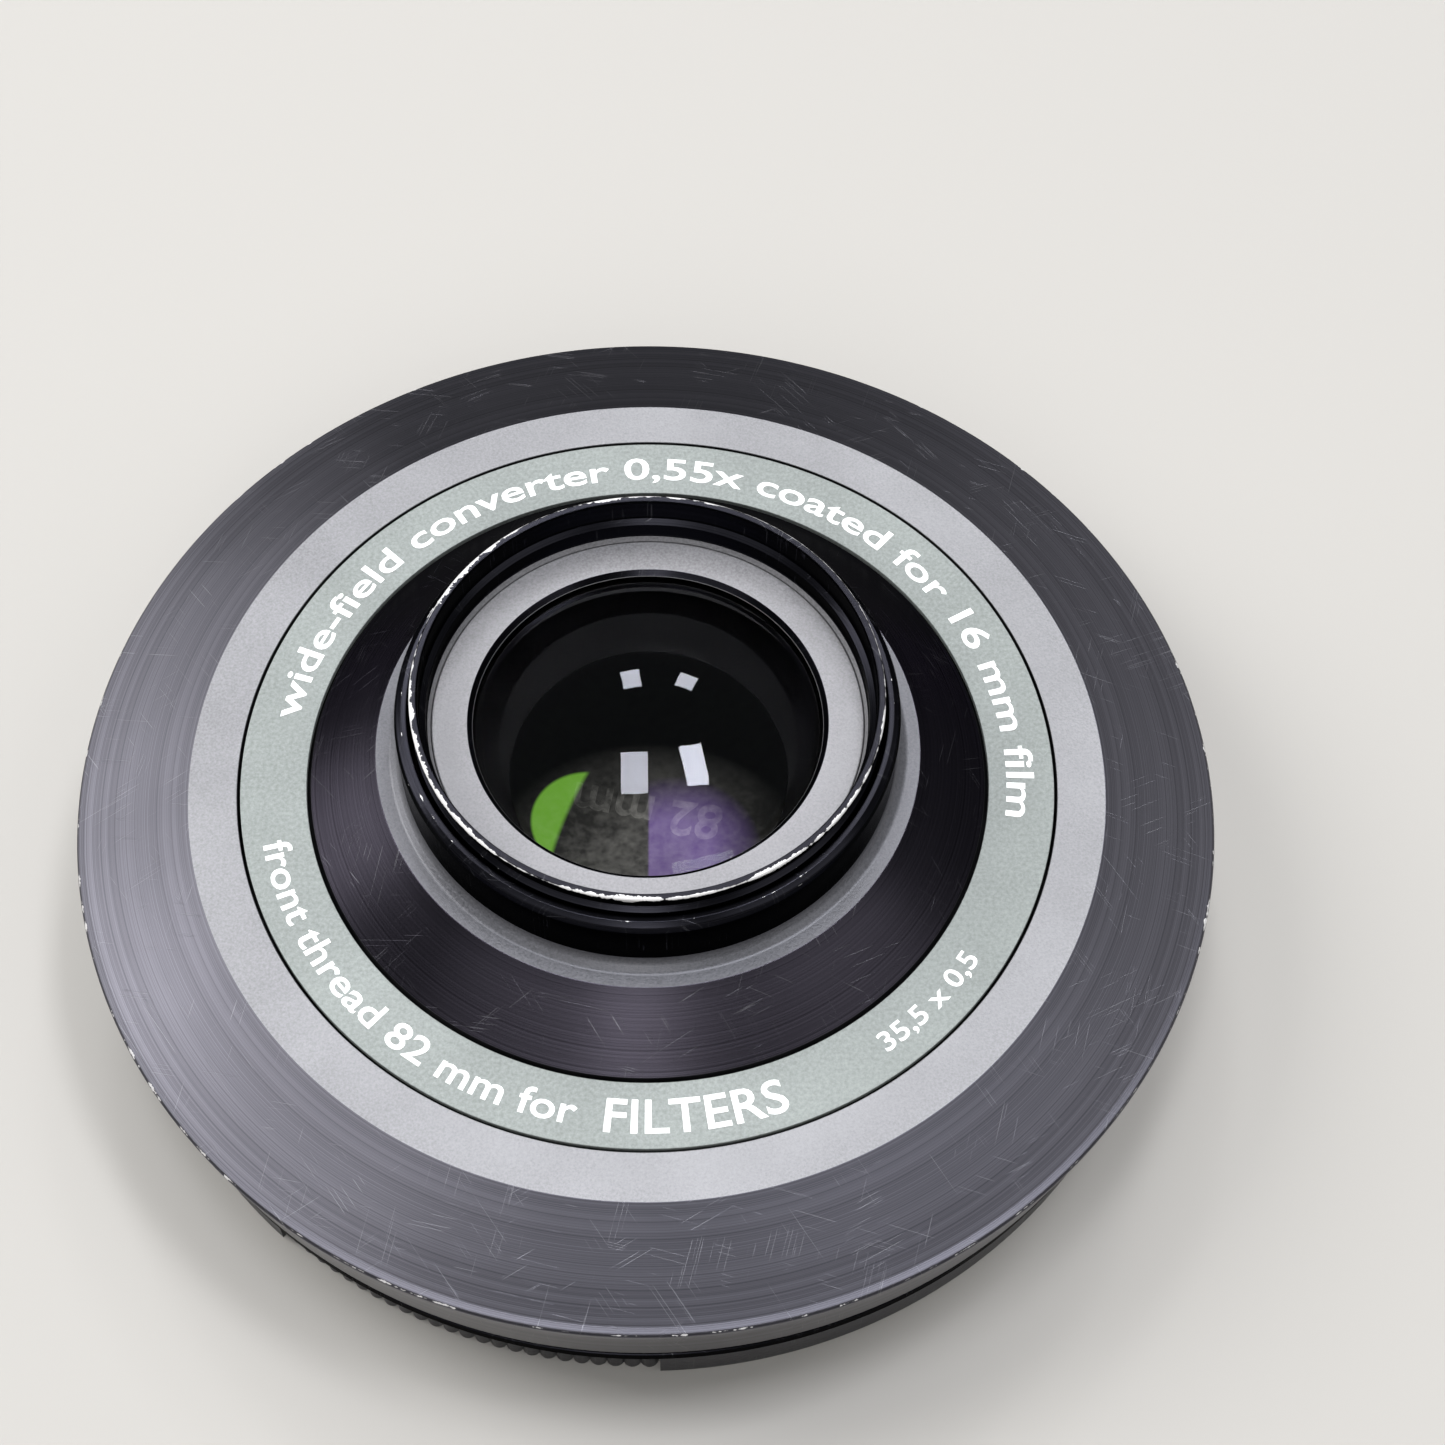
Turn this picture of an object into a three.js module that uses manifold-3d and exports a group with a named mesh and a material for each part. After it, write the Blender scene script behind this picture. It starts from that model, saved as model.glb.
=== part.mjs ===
// A wide-angle converter lens for a 16 mm cine camera, lying face down on its pinch-release front cap.
// Millimetres, +Z up along the optical axis, towards the rear coupling. The origin is the centre of
// the cap's outer face, which is the plane that the whole thing stands on.
import * as THREE from "three";
import { mergeVertices } from "three/addons/utils/BufferGeometryUtils.js";
import Module from "manifold-3d";

const wasm = await Module();
wasm.setup();

// ---- Driving dimensions -------------------------------------------------------------------------
const GAP = 0.3; // assembly gap between neighbouring pieces
const SIDES = 40; // facets round the large turned pieces
const SMALL_SIDES = 24; // facets round the small inner pieces

const discR = 44.5; // widest edge of the flared shell
const discZ = 14.8; // height of that edge
const landR = 35.6; // where the outer cone meets the satin land
const landZ = 17.45; // height of the land and of the name ring
const nameOuterR = 31.6;
const nameInnerR = 26.5;
const ledgeR = 20.85; // top of the glossy cone
const ledgeZ = 21.4;
const collarR = 18.95; // upright collar wall
const lipZ = 27.1; // shoulder at the top of the collar
const threadR = 17.65; // external coupling thread, 35.3 mm over its worn crests
const rimZ = 29.0; // rear rim, the highest point
const apertureR = 13.6;
const ringZ = 24.75; // face of the rear retaining ring
const cellR = 16.3; // inner lens cell
const glassR = 15.1; // rear and middle glasses
const frontGlassR = 38.5;
const filterMajorR = 41.0; // 82 mm filter thread
const filterMinorR = 40.6;
const filterPitch = 0.75;
const filterOuterR = 42.9;
const capR = 42.5; // cap flange
const capRimZ = 3.95;
const capFloorZ = 1.9; // upper side of the cap's floor
const skirtR = 39.7; // cap skirt that enters the filter ring
const skirtWall = 1.2;
const skirtZ = 8.6;
const plateZ = 4.2; // underside of the cap's inner cover plate
const plateT = 1.0;
const tabAngle = 70; // direction of pinch tab a, in degrees; tab b is opposite
const tabHalfWidth = 15.1;
const tabInnerX = 33.3; // inner face of the tab's grip block

// ---- Materials ----------------------------------------------------------------------------------
const look = (color, roughness, metalness, more = {}) =>
  new THREE.MeshStandardMaterial({ color, roughness, metalness, ...more });

const anodised = look(0x3a3a42, 0.45, 0.6);
const nameGreen = look(0x5c6a66, 0.6, 0.2);
const glossBlack = look(0x141417, 0.25, 0.5);
const satinGrey = look(0x55555c, 0.6, 0.4);
const innerBlack = look(0x101012, 0.8, 0.1);
const coatedGlass = look(0x0a0c10, 0.05, 0.0, { transparent: true, opacity: 0.5 });
const rubberBlack = look(0x151515, 0.9, 0.0);
const capPlastic = look(0x1b1b1d, 0.55, 0.0);
const capInner = look(0x303032, 0.8, 0.0);
const steel = look(0xb0b0b4, 0.3, 1.0);

// ---- Solids -------------------------------------------------------------------------------------
// A closed geometry as a manifold-3d solid, without the flat triangles that a profile leaves on the axis.
function solidOf(geometry) {
  const bare = geometry.index ? geometry : geometry.clone();
  bare.deleteAttribute("normal");
  bare.deleteAttribute("uv");
  const merged = mergeVertices(bare, 1e-4);
  const index = merged.index.array;
  const kept = [];
  for (let i = 0; i < index.length; i += 3) {
    const [a, b, c] = index.subarray(i, i + 3);
    if (a !== b && b !== c && c !== a) kept.push(a, b, c);
  }
  const positions = new Float32Array(merged.attributes.position.array);
  const mesh = new wasm.Mesh({ numProp: 3, vertProperties: positions, triVerts: new Uint32Array(kept) });
  return new wasm.Manifold(mesh);
}

function geometryOf(solid) {
  const mesh = solid.getMesh();
  const geometry = new THREE.BufferGeometry();
  geometry.setAttribute("position", new THREE.BufferAttribute(mesh.vertProperties, 3));
  geometry.setIndex(new THREE.BufferAttribute(mesh.triVerts, 1));
  geometry.computeVertexNormals();
  return geometry;
}

const signedArea = (points) =>
  points.reduce((sum, [x, y], i) => {
    const [nextX, nextY] = points[(i + 1) % points.length];
    return sum + x * nextY - nextX * y;
  }, 0) / 2;

// A ring or disc turned about +Z from a closed outline of [radius, height] points.
function turned(outline, sides = SIDES) {
  const points = signedArea(outline) < 0 ? [...outline].reverse() : outline;
  const onAxis = points.findIndex(([r], i) => r === 0 && points.at(i - 1)[0] === 0);
  const start = Math.max(onAxis, 0);
  const ordered = [...points.slice(start), ...points.slice(0, start)];
  if (onAxis < 0) ordered.push(ordered[0]);
  const geometry = new THREE.LatheGeometry(
    ordered.map(([r, z]) => new THREE.Vector2(r, z)),
    sides,
    Math.PI / 2,
  );
  return solidOf(geometry.rotateX(Math.PI / 2));
}

// A flat outline of [x, y] points raised from one height to another.
function raised(outline, low, high) {
  const shape = new THREE.Shape(outline.map(([x, y]) => new THREE.Vector2(x, y)));
  const geometry = new THREE.ExtrudeGeometry(shape, { depth: high - low, bevelEnabled: false });
  return solidOf(geometry.translate(0, 0, low));
}

function block(xRange, yRange, zRange) {
  const size = [xRange, yRange, zRange].map(([low, high]) => high - low);
  const centre = [xRange, yRange, zRange].map(([low, high]) => (low + high) / 2);
  return solidOf(new THREE.BoxGeometry(...size).translate(...centre));
}

const post = (radius, low, high, sides = 12) =>
  turned([[0, low], [radius, low], [radius, high], [0, high]], sides);

const atAngle = (solid, degrees) => solid.rotate([0, 0, degrees]);
const joined = (solids) => solids.reduce((sum, solid) => sum.add(solid));
const without = (solid, cutters) => cutters.reduce((rest, cutter) => rest.subtract(cutter), solid);

// Points of a surface's cross-section from the axis to a radius, by its height at each radius.
const section = (radius, height, steps = 6) =>
  Array.from({ length: steps + 1 }, (_, i) => [(radius * i) / steps, height((radius * i) / steps)]);

const bulge = (curveR, r) => curveR - Math.sqrt(curveR * curveR - r * r);

// ---- Metal of the lens --------------------------------------------------------------------------
const shellFloorZ = 15.3; // recess that takes the barrel's flange
const shellUnderZ = 13.7;
const seatZ = 14.6; // shoulder behind the front glass
const shellBottomZ = 7.3;
const retainerTopZ = 10.9;
const retainerBottomZ = 9.2;
const screwCircleR = 28.9;
const screwAngles = [45, 135, 225, 315];

const aroundScrews = (solid) =>
  screwAngles.map((degrees) => atAngle(solid.translate([screwCircleR, 0, 0]), degrees));

function mainShell() {
  const body = turned([
    [filterMajorR + 1.3, shellBottomZ],
    [43.0, shellBottomZ],
    [43.3, shellBottomZ + 0.3],
    [44.0, 12.2],
    [44.4, 14.2],
    [discR, discZ],
    [44.35, discZ + 0.2],
    [43.9, discZ + 0.25],
    [landR, landZ],
    [nameOuterR + GAP, landZ],
    [nameOuterR + GAP, shellFloorZ],
    [24.0, shellFloorZ],
    [24.0, shellUnderZ],
    [32.2, shellUnderZ],
    [33.2, seatZ],
    [frontGlassR + GAP, seatZ],
    [frontGlassR + GAP, retainerTopZ],
    [39.9, retainerTopZ],
    [39.9, retainerBottomZ],
    [filterMajorR + 1.3, retainerBottomZ],
  ]);
  return without(body, aroundScrews(post(1.1, shellUnderZ + 0.3, shellFloorZ + 1, 12)));
}

const nameRing = () =>
  turned([
    [nameInnerR, landZ - 0.55],
    [nameOuterR, landZ - 0.55],
    [nameOuterR, landZ],
    [nameInnerR, landZ],
  ]);

const flangeTopZ = 16.6;

function couplingBarrel() {
  const body = turned([
    [23.7, shellUnderZ],
    [23.7, shellFloorZ + GAP],
    [nameOuterR - 0.1, shellFloorZ + GAP],
    [nameOuterR - 0.1, flangeTopZ],
    [nameInnerR - GAP, flangeTopZ],
    [nameInnerR - GAP, landZ],
    [ledgeR, ledgeZ],
    [20.2, ledgeZ + 0.05],
    [19.4, ledgeZ + 0.2],
    [collarR, ledgeZ + 0.6],
    [collarR, 26.35],
    [18.8, 26.85],
    [18.4, lipZ],
    [threadR + GAP, lipZ],
    [threadR + GAP, 20.2],
    [cellR + 0.4, 20.2],
    [cellR + 0.4, shellUnderZ],
  ]);
  const sink = turned([[0, 15], [1.1, 15], [1.1, 15.9], [1.85, flangeTopZ], [1.85, 18], [0, 18]], 12);
  return without(body, aroundScrews(sink));
}

const barrelScrew = () =>
  turned([[0, 14.3], [0.8, 14.3], [0.8, 15.95], [1.5, 16.5], [0, 16.5]], 12);

const couplingThreadRing = () =>
  turned([
    [16.63, 20.5],
    [threadR, 20.5],
    [threadR, lipZ - 0.1],
    [17.25, lipZ + 0.25],
    [17.25, rimZ - 0.8],
    [threadR, rimZ - 0.4],
    [threadR, rimZ - 0.1],
    [threadR - 0.1, rimZ],
    [17.15, rimZ],
    [17.05, rimZ - 0.2],
    [17.05, 26.85],
    [16.63, 26.5],
  ]);

const rearRetainingRing = () =>
  turned([
    [apertureR - 0.37, ringZ - 0.42],
    [apertureR, ringZ],
    [cellR, ringZ],
    [cellR, 21.5],
    [glassR + 0.4, 21.5],
    [glassR + 0.4, 22.9],
  ]);

const cellBottomZ = 10.6;

const lensCell = () =>
  turned(
    [
      [12.6, cellBottomZ],
      [cellR, cellBottomZ],
      [cellR, 21.2],
      [glassR + GAP, 21.2],
      [glassR + GAP, cellBottomZ + 0.8],
      [12.6, cellBottomZ + 0.8],
    ],
    SMALL_SIDES,
  );

const flatRing = (innerR, outerR, low, high, sides) =>
  turned([[innerR, low], [outerR, low], [outerR, high], [innerR, high]], sides);

function frontRetainingRing() {
  const body = turned([
    [35.8, 9.0],
    [39.6, 9.0],
    [39.6, 10.5],
    [38.9, 10.5],
    [35.8, 9.85],
  ]);
  const slot = block([-45, 45], [-1, 1], [8, 9.6]);
  return without(body, [slot]);
}

function frontFilterRing() {
  const crests = [0, 1, 2, 3, 4].flatMap((turn) => [
    [filterMinorR, 5.05 + filterPitch * turn],
    [filterMajorR, 5.42 + filterPitch * turn],
  ]);
  return turned([
    ...crests,
    [filterMinorR, 8.7],
    [filterMinorR, 8.9],
    [filterMajorR + 1, 8.9],
    [filterMajorR + 1, shellBottomZ - GAP],
    [filterOuterR, shellBottomZ - GAP],
    [filterOuterR, 4.75],
    [42.6, 4.45],
    [41.3, 4.45],
  ]);
}

// ---- Glass --------------------------------------------------------------------------------------
const crownTop = (r) => 28 - bulge(24, r);
const cementZ = (r) => 20 + bulge(60, r);
const flintBottom = (r) => 18 - bulge(50, r);

const rearDoubletCrown = () =>
  turned([...section(glassR, cementZ), ...section(glassR, crownTop).reverse()], SMALL_SIDES);

const rearDoubletFlint = () =>
  turned(
    [...section(glassR, flintBottom), ...section(glassR, (r) => cementZ(r) - GAP).reverse()],
    SMALL_SIDES,
  );

const middleNegativeElement = () =>
  turned(
    [
      ...section(glassR, (r) => 12.3 - bulge(160, r), 4),
      ...section(glassR, (r) => 13.1 + bulge(140, r), 4).reverse(),
    ],
    SMALL_SIDES,
  );

const bowlR = 33;
const bowlDepth = 5.4;
const frontSurface = (r) => 6.2 + bulge(160, r);
const bowlSurface = (r) => 8 + bowlDepth * (0.55 * (r / bowlR) ** 2 + 0.45 * (r / bowlR) ** 4);

const frontAsphericElement = () =>
  turned([
    ...section(frontGlassR, frontSurface, 5),
    [frontGlassR, 8 + bowlDepth],
    ...section(bowlR, bowlSurface, 5).reverse(),
  ]);

// ---- Front cap ----------------------------------------------------------------------------------
const hubHalf = 4.5; // the wall that the springs push against
const bossPlaces = [-1, 1].flatMap((side) => [-1, 1].map((end) => [9 * side, 22 * end]));
const bossTopZ = plateZ - GAP;

const tabDirections = [tabAngle, tabAngle + 180];
const inTabFrame = (solid) => atAngle(solid, tabAngle);

function capShell() {
  const skin = turned([
    [0, 0.4],
    [30.2, 0.4],
    [30.6, 0],
    [capR - 0.4, 0],
    [capR, 0.4],
    [capR, capRimZ - 0.4],
    [capR - 0.4, capRimZ],
    [skirtR, capRimZ],
    [skirtR, skirtZ - 0.4],
    [skirtR - 0.4, skirtZ],
    [skirtR - skirtWall, skirtZ],
    [skirtR - skirtWall, capFloorZ],
    [0, capFloorZ],
  ]);
  const notch = block([30.5, 50], [-tabHalfWidth - GAP, tabHalfWidth + GAP], [-1, 12]);
  const opened = without(skin, tabDirections.map((degrees) => atAngle(notch, degrees)));
  const low = capFloorZ - 0.3;
  const ribs = [-1, 1].flatMap((side) =>
    [-1, 1].map((end) =>
      block(
        [Math.min(16 * end, 29 * end), Math.max(16 * end, 29 * end)],
        [Math.min(10.4 * side, 11.5 * side), Math.max(10.4 * side, 11.5 * side)],
        [low, bossTopZ],
      ),
    ),
  );
  const hub = block([-hubHalf, hubHalf], [-9, 9], [low, bossTopZ]);
  const bosses = bossPlaces.map(([x, y]) => post(2.2, low, bossTopZ).translate([x, y, 0]));
  const built = joined([opened, ...[...ribs, hub, ...bosses].map(inTabFrame)]);
  const bores = bossPlaces.map(([x, y]) => inTabFrame(post(1.05, 1.0, 6).translate([x, y, 0])));
  return without(built, bores);
}

function capCoverPlate() {
  const disc = turned([[0, plateZ], [38, plateZ], [38, plateZ + plateT], [0, plateZ + plateT]]);
  const flatX = 34.1;
  const sides = [block([flatX, 50], [-50, 50], [0, 10]), block([-50, -flatX], [-50, 50], [0, 10])];
  const bores = bossPlaces.map(([x, y]) => post(1.05, 0, 10).translate([x, y, 0]));
  return without(disc, [...sides, ...bores].map(inTabFrame));
}

const coverPin = () =>
  turned([[0, 1.3], [0.75, 1.3], [0.75, 5.5], [1.7, 5.5], [1.4, 6.0], [0, 6.0]], 12);

// The tab is drawn pointing along +X: a serrated grip block, a slide plate and a hook wall.
function pinchTab() {
  const teeth = 24;
  const edgeAngle = Math.asin(tabHalfWidth / (capR - 0.4));
  const serrated = Array.from({ length: 2 * teeth + 1 }, (_, i) => {
    const angle = edgeAngle * (i / teeth - 1);
    const r = capR - (i % 2 ? 0.4 : 0.75);
    return [r * Math.cos(angle), r * Math.sin(angle)];
  });
  const grip = raised([[tabInnerX, -tabHalfWidth], ...serrated, [tabInnerX, tabHalfWidth]], 0.15, 3.75);
  const slide = block([14, tabInnerX + 1], [-10, 10], [2.2, 3.6]);
  const hook = arcWall(skirtR - skirtWall, skirtR, 3.5, 8.4);
  const tooth = arcWall(39.5, 40.3, 6.2, 6.9);
  return joined([grip, slide, hook, tooth]);
}

// A wall that follows the skirt over the middle of a tab.
function arcWall(innerR, outerR, low, high) {
  const half = THREE.MathUtils.degToRad(16);
  const arc = (r, sign) =>
    Array.from({ length: 9 }, (_, i) => {
      const angle = sign * half * (i / 4 - 1);
      return [r * Math.cos(angle), r * Math.sin(angle)];
    });
  return raised([...arc(outerR, 1), ...arc(innerR, -1)], low, high);
}

class Coil extends THREE.Curve {
  constructor(length, radius, turns) {
    super();
    Object.assign(this, { length, radius, turns });
  }

  getPoint(t, target = new THREE.Vector3()) {
    const angle = 2 * Math.PI * this.turns * t;
    return target.set(this.length * t, this.radius * Math.cos(angle), this.radius * Math.sin(angle));
  }
}

function tabSpring(side) {
  const wireR = 0.16;
  const turns = 4;
  const length = 14 - hubHalf - 2 * GAP - 2 * wireR;
  const wire = new THREE.Shape();
  wire.absarc(0, 0, wireR, 0, 2 * Math.PI);
  const geometry = new THREE.ExtrudeGeometry(wire, {
    extrudePath: new Coil(length, 0.72, turns),
    steps: 8 * turns,
    curveSegments: 3,
  });
  return solidOf(geometry.translate(hubHalf + GAP + wireR, 5 * side, 3.0));
}

// ---- Assembly -----------------------------------------------------------------------------------
const part = new THREE.Group();

function group(parent, degrees = 0) {
  const made = new THREE.Group();
  made.rotation.z = THREE.MathUtils.degToRad(degrees);
  parent.add(made);
  return made;
}

function place(parent, name, solid, material) {
  const mesh = new THREE.Mesh(geometryOf(solid), material);
  mesh.name = name;
  parent.add(mesh);
  return mesh;
}

const lens = group(part);
place(lens, "main_shell", mainShell(), anodised);
place(lens, "name_ring", nameRing(), nameGreen);
place(lens, "coupling_barrel", couplingBarrel(), glossBlack);
place(lens, "coupling_thread_ring", couplingThreadRing(), glossBlack);
place(lens, "rear_retaining_ring", rearRetainingRing(), satinGrey);
place(lens, "rear_doublet_crown", rearDoubletCrown(), coatedGlass);
place(lens, "rear_doublet_flint", rearDoubletFlint(), coatedGlass);
place(lens, "lens_cell", lensCell(), innerBlack);
place(lens, "glass_spacer_ring", flatRing(13.4, glassR, 14.9, 15.35, SMALL_SIDES), innerBlack);
place(lens, "light_baffle", flatRing(9.0, glassR, 14.2, 14.6, SMALL_SIDES), innerBlack);
place(lens, "middle_negative_element", middleNegativeElement(), coatedGlass);
place(lens, "front_aspheric_element", frontAsphericElement(), coatedGlass);
place(lens, "front_seat_gasket", flatRing(36.3, 38.3, 13.7, 14.3, SIDES), rubberBlack);
place(lens, "front_retaining_ring", frontRetainingRing(), innerBlack);
place(lens, "front_filter_ring", frontFilterRing(), anodised);
screwAngles.forEach((degrees, i) => {
  const screw = place(group(lens, degrees), "barrel_screw_" + (i + 1), barrelScrew(), steel);
  screw.position.x = screwCircleR;
});

const cap = group(part);
place(cap, "cap_shell", capShell(), capPlastic);
place(cap, "cap_cover_plate", capCoverPlate(), capInner);
const pinFrame = group(cap, tabAngle);
bossPlaces.forEach(([x, y], i) => {
  const pin = place(pinFrame, "cover_plate_pin_" + (i + 1), coverPin(), capInner);
  pin.position.set(x, y, 0);
});
["a", "b"].forEach((letter, i) => {
  const frame = group(cap, tabDirections[i]);
  place(frame, "pinch_tab_" + letter, pinchTab(), capPlastic);
  [-1, 1].forEach((side, j) => {
    place(frame, "tab_spring_" + letter + (j + 1), tabSpring(side), steel);
  });
});

export default part;
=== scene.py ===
import math

import bmesh
import bpy
from mathutils import Matrix, Vector


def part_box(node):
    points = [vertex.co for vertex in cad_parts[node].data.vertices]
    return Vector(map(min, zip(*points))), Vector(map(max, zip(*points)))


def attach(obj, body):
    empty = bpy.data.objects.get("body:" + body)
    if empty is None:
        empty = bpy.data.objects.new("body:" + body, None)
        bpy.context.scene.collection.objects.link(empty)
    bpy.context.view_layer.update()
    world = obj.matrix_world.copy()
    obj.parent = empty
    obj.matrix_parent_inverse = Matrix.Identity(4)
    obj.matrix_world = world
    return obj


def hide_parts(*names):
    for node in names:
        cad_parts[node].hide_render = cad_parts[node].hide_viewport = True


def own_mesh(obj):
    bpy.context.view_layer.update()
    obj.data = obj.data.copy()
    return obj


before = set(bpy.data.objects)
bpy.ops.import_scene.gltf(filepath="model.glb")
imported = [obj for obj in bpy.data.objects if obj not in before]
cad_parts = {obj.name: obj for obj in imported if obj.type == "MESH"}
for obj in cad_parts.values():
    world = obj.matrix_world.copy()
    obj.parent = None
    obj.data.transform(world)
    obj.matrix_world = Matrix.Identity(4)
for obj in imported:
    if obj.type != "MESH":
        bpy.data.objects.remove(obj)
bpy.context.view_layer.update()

MM = 0.001
ROUND = 288  # facets round a turned surface


def radius_of(node):
    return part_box(node)[1].x / MM


def low_of(node):
    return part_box(node)[0].z / MM


def high_of(node):
    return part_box(node)[1].z / MM


DISC_R = radius_of("main_shell")
LAND_Z = high_of("main_shell")
SHELL_LOW = low_of("main_shell")
NAME_R = radius_of("name_ring")
BARREL_R = radius_of("coupling_barrel")
LIP_Z = high_of("coupling_barrel")
THREAD_R = radius_of("coupling_thread_ring")
RIM_Z = high_of("coupling_thread_ring")
RING_R = radius_of("rear_retaining_ring")
RING_Z = high_of("rear_retaining_ring")
GLASS_R = radius_of("rear_doublet_crown")
DOME_Z = high_of("rear_doublet_crown")
FILTER_R = radius_of("front_filter_ring")
FILTER_LOW = low_of("front_filter_ring")
CAP_R = radius_of("cap_shell")
FRONT_GLASS_R = radius_of("front_aspheric_element")
TAB_ANGLE = math.radians(70)


# ---- Camera and light ---------------------------------------------------------------------------
SENSOR_WIDTH, FOCAL_LENGTH = 36, 62.0
CAMERA_PLACE = Vector((1.3, -98.2, 184.8)) * MM
CAMERA_RIGHT = Vector((0.9997, -0.0119, 0.0196)).normalized()
CAMERA_AHEAD = Vector((0.0229, 0.5212, -0.8531)).normalized()


def make_camera():
    data = bpy.data.cameras.new("camera")
    data.sensor_width = SENSOR_WIDTH
    data.lens = FOCAL_LENGTH
    camera = bpy.data.objects.new("camera", data)
    bpy.context.collection.objects.link(camera)
    up = CAMERA_RIGHT.cross(CAMERA_AHEAD)
    turn = Matrix((CAMERA_RIGHT, up, -CAMERA_AHEAD)).transposed()
    camera.matrix_world = Matrix.Translation(CAMERA_PLACE) @ turn.to_4x4()
    bpy.context.scene.camera = camera


WORLD_COLOR, WORLD_STRENGTH = (0.92, 0.95, 1.0, 1), 0.125
LIGHT_TARGET = Vector((0, 0, 0.02))
COOL_WHITE = (0.93, 0.95, 1.0)
PANEL_HEIGHT = WINDOW_DISTANCE = 1.0
SOFT_DISTANCE = 1.2
# Azimuth, elevation, width, height and power of the lights that shape the metal.
SOFT_LIGHT_ROWS = (
    (40, 42, 1.0, 0.8, 1.7),
    (90, 64, 0.6, 0.5, 4.0),
    (160, 44, 0.5, 0.7, 9.0),
    (166, 18, 0.5, 0.5, 2.6),
    (240, 42, 1.0, 0.8, 2.4),
    (268, 40, 0.3, 0.6, 2.6),
    (330, 42, 0.8, 0.8, 2.6),
)
soft_lights = []


def area_light(name, place, size, power, color=(1, 1, 1)):
    data = bpy.data.lights.new(name, "AREA")
    data.shape = "RECTANGLE"
    data.size, data.size_y = size
    data.energy = power
    data.color = color
    light = bpy.data.objects.new(name, data)
    bpy.context.collection.objects.link(light)
    light.location = place
    aim = LIGHT_TARGET - Vector(place)
    light.rotation_euler = aim.to_track_quat("-Z", "Y").to_euler()
    return light


def from_direction(azimuth, elevation, distance):
    az, el = math.radians(azimuth), math.radians(elevation)
    return Vector((math.cos(az) * math.cos(el), math.sin(az) * math.cos(el), math.sin(el))) * distance


def make_lights():
    bpy.context.scene.view_settings.view_transform = "Standard"
    world = bpy.data.worlds.new("studio")
    bpy.context.scene.world = world
    world.use_nodes = True
    background = world.node_tree.nodes["Background"]
    background.inputs["Color"].default_value = WORLD_COLOR
    background.inputs["Strength"].default_value = WORLD_STRENGTH
    # Two overhead panels and two windows show as bright panes in the rear glass.
    area_light("panel_left", (-0.09, 0.0, PANEL_HEIGHT), (0.28, 0.17), 3.2, COOL_WHITE)
    area_light("panel_right", (0.29, 0.07, PANEL_HEIGHT), (0.28, 0.15), 4.2, COOL_WHITE)
    area_light("window_left", from_direction(99, 51, WINDOW_DISTANCE), (0.1, 0.14), 0.9, COOL_WHITE)
    area_light("window_right", from_direction(72, 50, WINDOW_DISTANCE), (0.1, 0.11), 0.7, COOL_WHITE)
    for azimuth, elevation, width, height, power in SOFT_LIGHT_ROWS:
        place = from_direction(azimuth, elevation, SOFT_DISTANCE)
        soft_lights.append(area_light("soft_%d" % azimuth, place, (width, height), power))


def keep_soft_lights_off(glasses):
    """The glasses show only the panels and windows, since their coating hides weaker light."""
    receivers = bpy.data.collections.new("soft_light_receivers")
    for piece in glasses:
        receivers.objects.link(piece)
    for entry in receivers.collection_objects:
        entry.light_linking.link_state = "EXCLUDE"
    for light in soft_lights:
        light.light_linking.receiver_collection = receivers


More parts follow.
